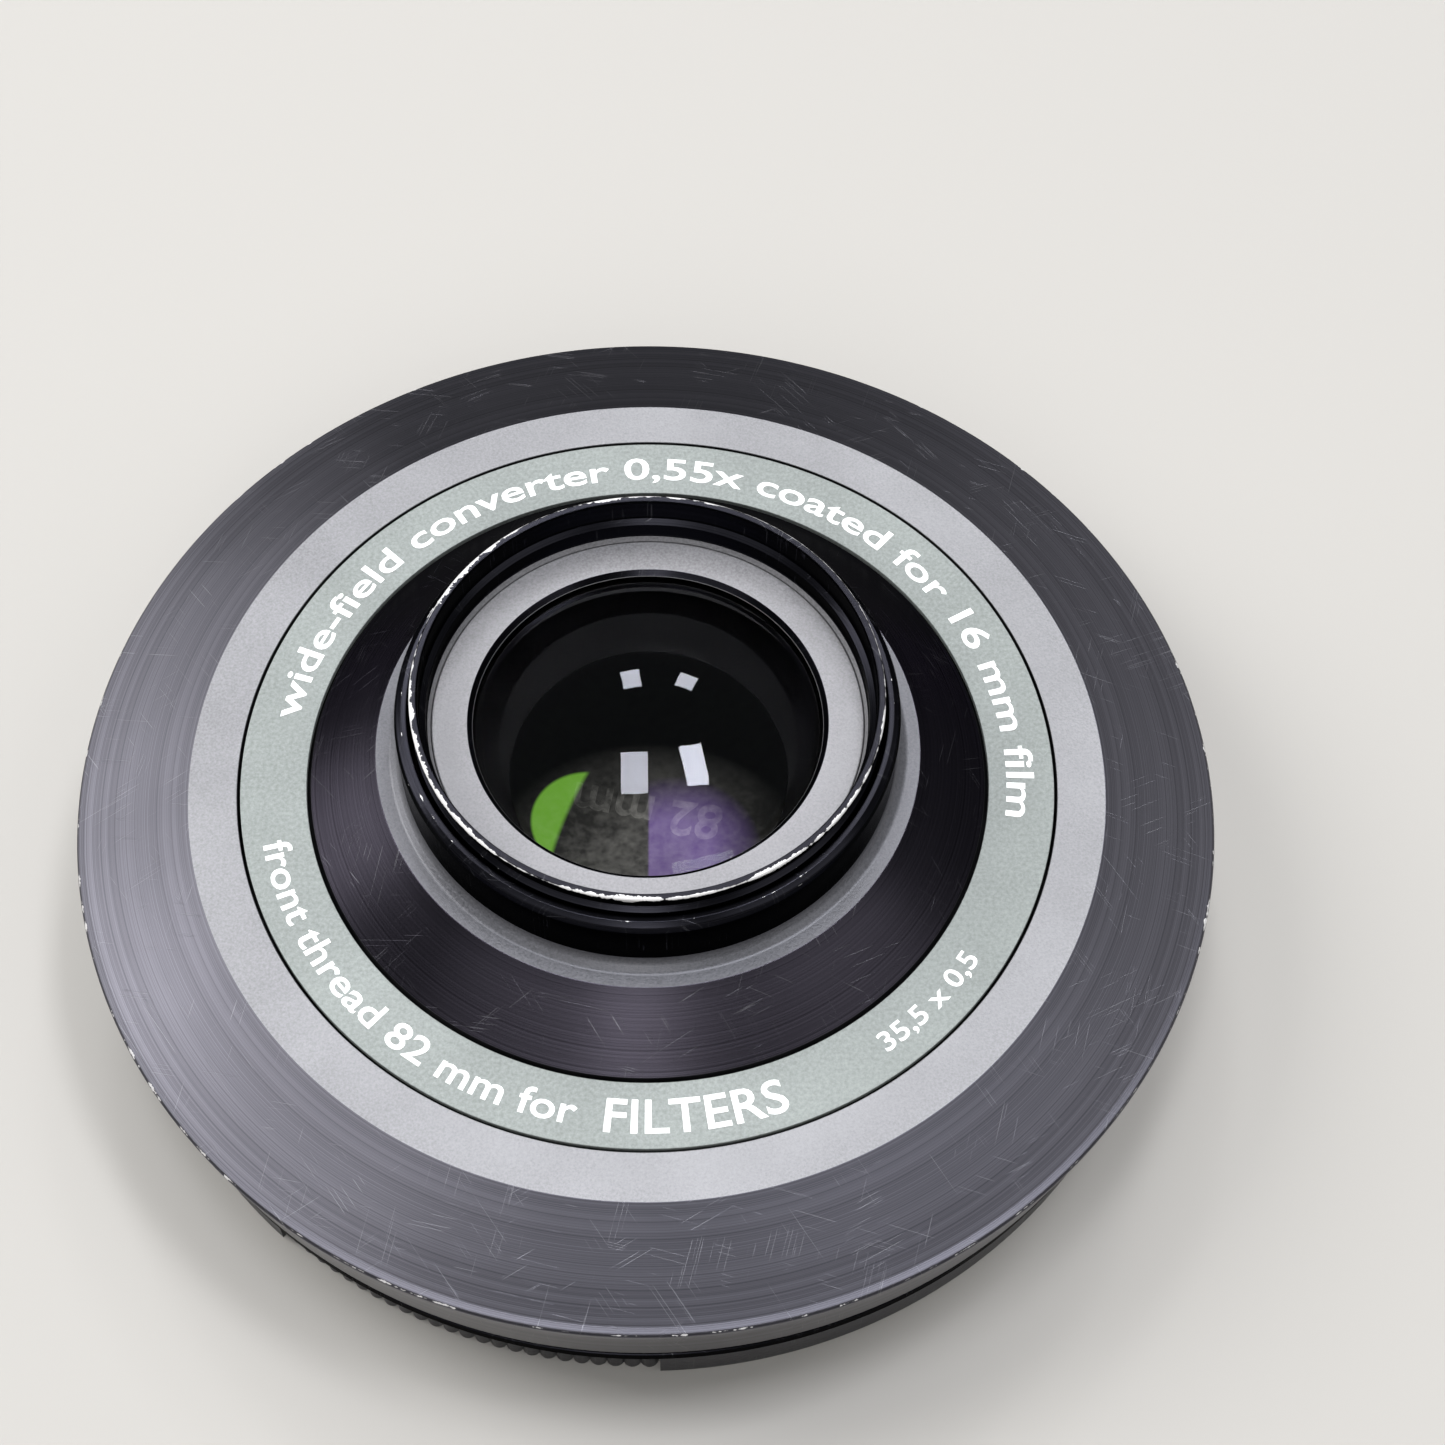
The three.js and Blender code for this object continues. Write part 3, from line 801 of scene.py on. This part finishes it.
def make_glasses():
    def crown_top(r):
        return DOME_Z - bulge(24, r)

    def crown_low(r):
        return 20 + bulge(60, r)

    def flint_top(r):
        return crown_low(r) - 0.3

    def flint_low(r):
        return 18 - bulge(50, r)

    def middle_top(r):
        return 13.1 + bulge(140, r)

    def middle_low(r):
        return 12.3 - bulge(160, r)

    def front_low(r):
        return 6.2 + bulge(160, r)

    def bowl(r):
        share = r / bowl_r
        return 8 + 5.4 * (0.55 * share**2 + 0.45 * share**4)

    glasses = [
        glass_piece("dome_element", crown_low, crown_top, [DOME_GLASS, CEMENT_GLASS], "rear_doublet_crown"),
        glass_piece("flint_element", flint_low, flint_top, [CEMENT_GLASS, FLINT_GLASS], "rear_doublet_flint"),
    ]
    faces = [MIDDLE_GLASS, PAINTED_REFLECTION_FACE]
    glasses.append(glass_piece("middle_element", middle_low, middle_top, faces, "middle_negative_element"))
    bowl_r, edge_top = 33, 13.4
    outline = curve_section(FRONT_GLASS_R, front_low)
    outline += [(FRONT_GLASS_R, edge_top, 0)] + curve_section(bowl_r, bowl)[::-1]
    mesh = lathe_mesh("front_element", outline, GLASS_SIDES)
    front = finished("front_element", mesh, [FRONT_GLASS], "lens", "coated_glass", "front_aspheric_element")
    keep_soft_lights_off(glasses + [front])


# ---- Inside of the lens --------------------------------------------------------------------------
def inner_ring(name, points, node, material=BLACK_METAL, slot="inner_black", fillet=0.08):
    return turned_piece(name, points, [material], slot, node, fillet, GLASS_SIDES)


def make_inner_rings():
    wall_r, wall_top = 15.4, 19.9
    groove_pitch = 0.5
    grooves = []
    for k in range(9):
        z = wall_top - groove_pitch * k
        grooves += [(wall_r, z, 0.02), (wall_r + 0.3, z - 0.2, 0.02), (wall_r, z - 0.4, 0.02)]
    cell_r, cell_low = radius_of("lens_cell"), low_of("lens_cell")
    cell = [(12.6, cell_low), (cell_r, cell_low), (cell_r, 21.2, 0.15), (wall_r, 21.2, 0.2)]
    cell += grooves + [(wall_r, cell_low + 0.8), (12.6, cell_low + 0.8)]
    inner_ring("element_cell", cell, "lens_cell")
    spacer_low, spacer_high = low_of("glass_spacer_ring"), high_of("glass_spacer_ring")
    spacer = [(13.4, spacer_low + 0.15), (13.7, spacer_low), (GLASS_R, spacer_low), (GLASS_R, spacer_high)]
    inner_ring("air_spacer", spacer + [(13.55, spacer_high), (13.4, spacer_high - 0.1)], "glass_spacer_ring")
    knife, baffle_low, baffle_high = 9.0, low_of("light_baffle"), high_of("light_baffle")
    baffle = [(knife, baffle_high - 0.06, 0.01), (10.0, baffle_low)]
    baffle += [(GLASS_R, baffle_low), (GLASS_R, baffle_high)]
    inner_ring("stop_baffle", baffle + [(knife, baffle_high, 0.01)], "light_baffle")
    gasket_low, gasket_high = low_of("front_seat_gasket"), high_of("front_seat_gasket")
    gasket_r = radius_of("front_seat_gasket")
    gasket = [(gasket_r - 2, gasket_low), (gasket_r, gasket_low)]
    gasket += [(gasket_r, gasket_high), (gasket_r - 2, gasket_high)]
    inner_ring("seat_gasket", gasket, "front_seat_gasket", RUBBER, "gasket", 0.25)


def make_front_retainer():
    node = "front_retaining_ring"
    low, high, outer = low_of(node), high_of(node), radius_of(node)
    points = [(outer - 3.8, low), (outer, low), (outer, high), (outer - 0.7, high), (outer - 3.8, low + 0.85)]
    mesh = lathe_mesh("front_retainer", rounded(points, 0.12))
    ring = loose("front_retainer", mesh, [BLACK_METAL])
    cutter = loose("slot", rounded_box((-45, 45), (-1, 1), (low - 1, low + 0.6), 0.1))
    crisp(combined(ring, [cutter], "DIFFERENCE"))
    claim(ring, "lens", "inner_black", node)


def make_filter_ring():
    crest_r, root_r, pitch, first = 40.6, 41.0, 0.75, 5.05
    thread = []
    for k in range(5):
        z = first + pitch * k
        thread += [(crest_r, z, 0.03), (crest_r, z + 0.09, 0.03)]
        thread += [(root_r, z + 0.37, 0.04), (root_r, z + 0.46, 0.04)]
    top, step_z, low, outer = high_of("front_filter_ring"), SHELL_LOW - 0.3, FILTER_LOW, FILTER_R
    points = [(crest_r, 8.7), (crest_r, top), (root_r + 1, top), (root_r + 1, step_z), (outer, step_z, 0.1)]
    points += [(outer, 6.05, 0.04), (outer - 0.12, 5.95, 0.04)]
    points += [(outer - 0.12, 5.75, 0.04), (outer, 5.65, 0.04)]
    points += [(outer, low + 0.3), (outer - 0.3, low), (41.3, low, 0.08)]
    points = thread + points
    turned_piece(
        "filter_ring", points, [COLLAR_METAL], "anodised_shell", "front_filter_ring", sides=GLASS_SIDES
    )


def make_screws():
    for k in range(4):
        node = "barrel_screw_%d" % (k + 1)
        corner_low, corner_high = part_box(node)
        centre = (corner_low + corner_high) / 2
        low, high = low_of(node), high_of(node)
        thread = []
        for turn in range(6):
            thread += [(0.8, low + 0.2 + 0.25 * turn, 0.02), (0.66, low + 0.32 + 0.25 * turn, 0.02)]
        head = [(0.8, high - 0.65), (1.5, high - 0.08), (1.4, high), (0, high)]
        points = [(0, low), (0.6, low)] + thread + head
        mesh = lathe_mesh("screw", rounded(points, 0.05), sides=48)
        screw = loose("plate_screw_%d" % (k + 1), mesh, [STEEL])
        slot = loose("slot", rounded_box((-2, 2), (-0.2, 0.2), (high - 0.4, high + 1), 0.05, 0.7 * k))
        crisp(combined(screw, [slot], "DIFFERENCE"))
        screw.location = (centre.x, centre.y, 0)
        claim(screw, "lens", "steel", node)


# ---- Front cap ----------------------------------------------------------------------------------
RIM_TOP = 3.95  # upper side of the cap's flange
FLOOR_TOP = 1.9
SKIRT_R = 39.7
SKIRT_TOP = high_of("cap_shell")
PLATE_LOW, PLATE_TOP = low_of("cap_cover_plate"), high_of("cap_cover_plate")
TAB_HALF = 15.1
HUB_HALF = 4.5  # the wall that the springs push against
SLIDE_X = 14  # inner end of a tab's slide, where its springs end
SPRING_Y, SPRING_Z = 5.0, 3.0
PIN_PLACES = [(9 * side, 22 * end) for side in (-1, 1) for end in (-1, 1)]


def make_cap_shell():
    points = [(0, 0.4), (12.0, 0.4, 0.05), (12.25, 0.25, 0.05), (12.75, 0.25, 0.05), (13.0, 0.4, 0.05)]
    points += [(29.9, 0.4, 0.15), (30.6, 0.0, 0.2), (CAP_R - 1.4, 0.0, 0.1), (CAP_R - 0.35, 0.12, 0.3)]
    points += [(CAP_R, 0.5, 0.3), (CAP_R, RIM_TOP - 0.3, 0.2), (CAP_R - 0.3, RIM_TOP, 0.2)]
    points += [(SKIRT_R, RIM_TOP, 0.25), (SKIRT_R, SKIRT_TOP - 1.9, 0.1)]
    points += [(SKIRT_R - 0.12, SKIRT_TOP - 1.7, 0.1)]
    points += [(SKIRT_R - 0.12, SKIRT_TOP - 0.3, 0.15), (SKIRT_R - 0.45, SKIRT_TOP, 0.15)]
    points += [(SKIRT_R - 1.2, SKIRT_TOP, 0.15), (SKIRT_R - 1.2, FLOOR_TOP, 0.4), (0, FLOOR_TOP)]
    shell = loose("cap_body", lathe_mesh("cap_body", rounded(points, 0.12)), [CAP_PLASTIC])
    cutters = []
    notch_half = TAB_HALF + 0.3
    for turn in (TAB_ANGLE, TAB_ANGLE + math.pi):
        notch = rounded_box((30.5, 50), (-notch_half, notch_half), (-1, 12), 0.4, turn)
        cutters.append(loose("notch", notch))
    combined(shell, cutters, "DIFFERENCE")
    low, high = FLOOR_TOP - 0.3, PLATE_LOW - 0.3
    walls = [((-HUB_HALF, HUB_HALF), (-9, 9))]
    for side in (-1, 1):
        for x_range in ((-29, -16), (16, 29)):
            walls.append((x_range, (11 * side - 0.55, 11 * side + 0.55)))
    added = [loose("rib", rounded_box(xs, ys, (low, high), 0.15, TAB_ANGLE)) for xs, ys in walls]
    added += [post_at(place, 2.2, low, high) for place in PIN_PLACES]
    combined(shell, added, "UNION")
    combined(shell, [post_at(place, 1.05, 1.0, 6.0) for place in PIN_PLACES], "DIFFERENCE")
    crisp(shell)
    claim(shell, "front_cap", "cap_plastic", "cap_shell")


def in_tab_frame(x, y):
    """A point of the tab frame, whose x axis points along pinch tab a, in the object's frame."""
    return Matrix.Rotation(TAB_ANGLE, 3, "Z") @ Vector((x, y, 0))


def post_at(place, radius, low, high):
    points = [(0, low), (radius, low, 0.05), (radius, high, 0.15), (0, high)]
    post = loose("post", lathe_mesh("post", rounded(points, 0.1), sides=40))
    offset = in_tab_frame(*place) * MM
    post.data.transform(Matrix.Translation(offset))
    return post


def make_cover_plate():
    points = [(0, PLATE_LOW), (38.0, PLATE_LOW), (38.0, PLATE_TOP), (35.6, PLATE_TOP, 0.08)]
    for r in (33.0, 27.0, 16.5):
        points += [(r, PLATE_TOP, 0.05), (r - 0.15, PLATE_TOP - 0.18, 0.05)]
        points += [(r - 0.6, PLATE_TOP - 0.18, 0.05)]
        points += [(r - 0.75, PLATE_TOP, 0.05)]
    points += [(0, PLATE_TOP)]
    mesh = lathe_mesh("inner_plate", rounded(points, 0.15), GLASS_SIDES)
    plate = loose("inner_plate", mesh, [PLATE_PLASTIC])
    flat_x = 34.1
    sides = []
    for x_range in ((flat_x, 50), (-50, -flat_x)):
        sides.append(loose("flat", rounded_box(x_range, (-50, 50), (0, 10), 0.1, TAB_ANGLE)))
    holes = [post_at(place, 1.05, 0, 10) for place in PIN_PLACES]
    crisp(combined(plate, sides + holes, "DIFFERENCE"))
    claim(plate, "front_cap", "cap_inner", "cap_cover_plate")
    mark = text_mesh("82 mm", 2.7, 0.16, 0.95)
    mark.materials.clear()
    place = Vector((-0.2, 4.2, PLATE_TOP + 0.08)) * MM
    mark.transform(Matrix.Translation(place) @ Matrix.Rotation(math.pi - 0.2, 4, "Z"))
    sign = loose("size_mark", mark, [MARK_PLASTIC])
    claim(sign, "front_cap", "cap_inner")


def make_pins():
    for k in range(len(PIN_PLACES)):
        node = "cover_plate_pin_%d" % (k + 1)
        low, high = low_of(node), high_of(node)
        points = [(0, low), (0.75, low, 0.2), (0.75, high - 0.5, 0.05), (1.7, high - 0.5, 0.12)]
        points += [(1.6, high - 0.18, 0.2), (1.1, high, 0.25), (0.5, high - 0.14, 0.15), (0, high - 0.16)]
        pin = loose("staked_pin_%d" % (k + 1), lathe_mesh("pin", rounded(points, 0.1), sides=48), [CAP_INNER])
        corner_low, corner_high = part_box(node)
        centre = (corner_low + corner_high) / 2
        pin.location = (centre.x, centre.y, 0)
        claim(pin, "front_cap", "cap_inner", node)


def make_tab(letter, turn):
    """A pinch tab: a serrated grip, a slide under the inner plate and a hook with its tooth."""
    teeth = 24
    root_r, depth = 41.75, 0.35
    half = math.asin(TAB_HALF / (root_r + depth))
    back_x = 33.3
    outline = [(back_x, -TAB_HALF)]
    for angle in spread(-half, half, teeth * 8):
        phase = teeth * (angle + half) / (2 * half)
        wave = abs(math.sin(math.pi * phase)) ** 0.7
        r = root_r + depth * wave
        outline.append((r * math.cos(angle), r * math.sin(angle)))
    outline.append((back_x, TAB_HALF))
    grip_low, grip_high = 0.15, 3.75
    tab = loose("tab_%s" % letter, prism(outline, grip_low, grip_high, 0.12, turn), [CAP_PLASTIC])
    cuts = []
    for k in range(5):
        x = 35.2 + 1.2 * k
        groove = rounded_box((x, x + 0.6), (-10.5, 10.5), (-1, grip_low + 0.25), 0.1, turn)
        cuts.append(loose("groove", groove))
    combined(tab, cuts, "DIFFERENCE")
    added = [
        loose("slide", rounded_box((SLIDE_X, 34.3), (-10, 10), (2.2, 3.6), 0.2, turn)),
        loose("hook", prism(arc_wall(SKIRT_R - 1.2, SKIRT_R, 16), 3.5, 8.4, 0.15, turn)),
        loose("tooth", prism(arc_wall(39.4, 40.3, 16), 6.2, 6.9, 0.2, turn)),
    ]
    crisp(combined(tab, added, "UNION"))
    claim(tab, "tab_%s" % letter, "cap_plastic", "pinch_tab_%s" % letter)


def make_spring(letter, number, side, turn):
    """A compression spring with closed ends, from the cap's hub wall to the tab."""
    wire, radius = 0.16, 0.72
    gap = 0.3
    start, end = HUB_HALF + gap + wire, SLIDE_X - gap - wire
    turns, steps, sides = 9, 40, 12
    closed = 1.0  # closed turns at each end
    rise = 2.15 * wire  # of one closed turn
    verts, faces = [], []
    total = turns * steps
    for k in range(total + 1):
        t = k / steps
        active = min(max(t - closed, 0), turns - 2 * closed) / (turns - 2 * closed)
        tight = rise * (min(t, closed) + max(t - (turns - closed), 0))
        x = start + tight + (end - start - 2 * closed * rise) * active
        angle = 2 * math.pi * t
        out = Vector((0, math.cos(angle), math.sin(angle)))
        ahead = Vector((1, 0, 0))
        centre = Vector((x, SPRING_Y * side, SPRING_Z)) + out * radius
        for m in range(sides):
            b = 2 * math.pi * m / sides
            verts.append((centre + (out * math.cos(b) + ahead * math.sin(b)) * wire) * MM)
    for k in range(total):
        for m in range(sides):
            n = (m + 1) % sides
            faces.append((k * sides + m, k * sides + n, (k + 1) * sides + n, (k + 1) * sides + m))
    faces.append(tuple(range(sides))[::-1])
    faces.append(tuple(total * sides + m for m in range(sides)))
    mesh = bpy.data.meshes.new("spring")
    mesh.from_pydata([tuple(v) for v in verts], [], faces)
    mesh.transform(Matrix.Rotation(turn, 4, "Z"))
    for face in mesh.polygons:
        face.use_smooth = len(face.vertices) == 4
    spring = loose("spring_%s%d" % (letter, number), mesh, [STEEL])
    claim(spring, "front_cap", "steel", "tab_spring_%s%d" % (letter, number))
    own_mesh(spring)


# ---- Lettering ----------------------------------------------------------------------------------
CAP_SHARE = 0.73  # height of a capital over the font's size


def text_mesh(words, cap_height, thickness, widen=1.0):
    """Closed letters in Blender's built-in sans, centred on the origin; sizes in millimetres."""
    data = bpy.data.curves.new("words", "FONT")
    data.body = words
    data.size = cap_height / CAP_SHARE * MM
    data.extrude = thickness / 2 * MM
    data.offset = 0.015 * cap_height * MM
    data.resolution_u = 4
    made = bpy.data.objects.new("words", data)
    bpy.context.collection.objects.link(made)
    graph = bpy.context.evaluated_depsgraph_get()
    mesh = bpy.data.meshes.new_from_object(made.evaluated_get(graph))
    bpy.data.objects.remove(made, do_unlink=True)
    xs = [v.co.x for v in mesh.vertices]
    middle = (min(xs) + max(xs)) / 2
    for vertex in mesh.vertices:
        vertex.co.x = (vertex.co.x - middle) * widen
        vertex.co.y -= cap_height / 2 * MM
    return mesh


WORDS_R = 29.05


def ring_words(name, words, first_degrees, last_degrees, cap_height, inward=False):
    """Words round the name ring between two angles, filled with paint, 0.02 mm proud of the ring."""
    mesh = text_mesh(words, cap_height, 0.06)
    first, last = math.radians(first_degrees), math.radians(last_degrees)
    half_width = max(v.co.x for v in mesh.vertices)
    for vertex in mesh.vertices:
        share = (vertex.co.x / half_width + 1) / 2
        angle = first + (last - first) * share
        r = WORDS_R + (-1 if inward else 1) * vertex.co.y / MM
        vertex.co.x, vertex.co.y = r * math.cos(angle) * MM, r * math.sin(angle) * MM
        vertex.co.z += (LAND_Z - 0.01) * MM
    mesh.materials.clear()
    claim(loose(name, mesh, [LETTER_PAINT]), "lens", "name_ring")


def make_lettering():
    ring_words("words_top", "wide-field converter 0,55x coated for 16 mm film", 171, -9, 2.25)
    ring_words("words_bottom", "front thread 82 mm for", 193, 260, 2.2, inward=True)
    ring_words("words_filters", "FILTERS", 264, 290, 2.7, inward=True)
    ring_words("words_rear", "35,5 x 0,5", 306, 326, 1.6, inward=True)


# ---- Floor --------------------------------------------------------------------------------------
def make_floor():
    bm = bmesh.new()
    bmesh.ops.create_grid(bm, x_segments=1, y_segments=1, size=1.5)
    mesh = bpy.data.meshes.new("floor")
    bm.to_mesh(mesh)
    bm.free()
    floor = bpy.data.objects.new("floor", mesh)
    bpy.context.collection.objects.link(floor)
    floor.location.z = -0.02 * MM
    n = Nodes("floor_paper")
    n.shader.inputs["Base Color"].default_value = (0.4, 0.385, 0.36, 1)
    n.set(Roughness=0.8)
    # From below the floor is clear, so that the cap's outer face can be looked at.
    clear = n.add("ShaderNodeBsdfTransparent")
    mix = n.add("ShaderNodeMixShader")
    n.link(n.add("ShaderNodeNewGeometry").outputs["Backfacing"], mix.inputs[0])
    n.link(n.shader.outputs[0], mix.inputs[1])
    n.link(clear.outputs[0], mix.inputs[2])
    n.link(mix.outputs[0], n.tree.nodes["Material Output"].inputs["Surface"])
    mesh.materials.append(n.material)


make_camera()
make_floor()
make_lights()
make_shell()
make_name_ring()
make_lettering()
make_barrel()
make_thread_ring()
make_retaining_ring()
make_glasses()
make_inner_rings()
make_front_retainer()
make_filter_ring()
make_screws()
make_cap_shell()
make_cover_plate()
make_pins()
for letter, turn in (("a", TAB_ANGLE), ("b", TAB_ANGLE + math.pi)):
    make_tab(letter, turn)
    make_spring(letter, 1, -1, turn)
    make_spring(letter, 2, 1, turn)
